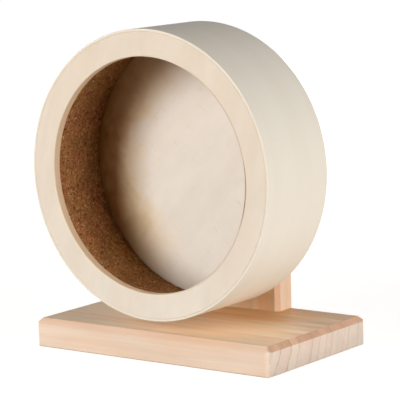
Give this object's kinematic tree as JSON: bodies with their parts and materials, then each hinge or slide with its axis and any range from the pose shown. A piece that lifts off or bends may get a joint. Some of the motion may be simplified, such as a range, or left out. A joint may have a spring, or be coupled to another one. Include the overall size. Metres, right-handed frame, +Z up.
{
  "type": "rodent exercise wheel",
  "caption": "Wooden running wheel for a small rodent: a cork-lined birch drum that turns on a ball bearing in front of a pine upright and base.",
  "frame": {"origin": "middle of the base board's underside", "axes": "+Z up, +Y from the open front of the drum to its back, along the axle, +X to the right of the front view"},
  "size_m": [0.2, 0.139, 0.2278],
  "materials": {
    "birch_band": "fine sanded, unvarnished, bent veneer",
    "birch_ply": "fine sanded, unvarnished plywood",
    "cork": "matt granular cork",
    "pine": "planed and sanded, unvarnished",
    "beech": "dowel rod",
    "bearing_steel": "ground and polished",
    "sheet_steel": "pressed sheet",
    "cage_plastic": "moulded, matt",
    "zinc_steel": "bright zinc plated",
    "polished_steel": "polished",
    "yellow_zinc": "yellow zinc plated"
  },
  "bodies": {
    "stand": {"base_board": "pine", "upright": "pine", "upright_screws": "yellow_zinc", "upright_dowels": "beech", "axle_bolt": "zinc_steel", "head_shim": "zinc_steel", "bearing_inner_race": "bearing_steel", "spacer_sleeve": "zinc_steel", "front_washer": "zinc_steel", "rear_washer": "zinc_steel", "spring_washer": "zinc_steel", "cap_nut": "polished_steel"},
    "wheel": {"rim": "birch_band", "front_ring": "birch_ply", "cork_lining": "cork", "back_disc": "birch_ply", "hub_block": "birch_ply", "bearing_outer_race": "bearing_steel", "bearing_front_shield": "sheet_steel", "bearing_rear_shield": "sheet_steel"},
    "ball_set": {"bearing_balls": "bearing_steel", "bearing_cage": "cage_plastic"}
  },
  "joints": [
    {"name": "wheel_spin", "type": "hinge", "parent": "stand", "child": "wheel", "pos_m": [0, 0.029, 0.1278], "axis": [0, 1, 0], "continuous": true},
    {"name": "ball_set_spin", "type": "hinge", "parent": "stand", "child": "ball_set", "pos_m": [0, 0.029, 0.1278], "axis": [0, 1, 0], "continuous": true}
  ],
  "couplings": [
    {"joint": "ball_set_spin", "follows": "wheel_spin", "ratio": 0.6323}
  ]
}
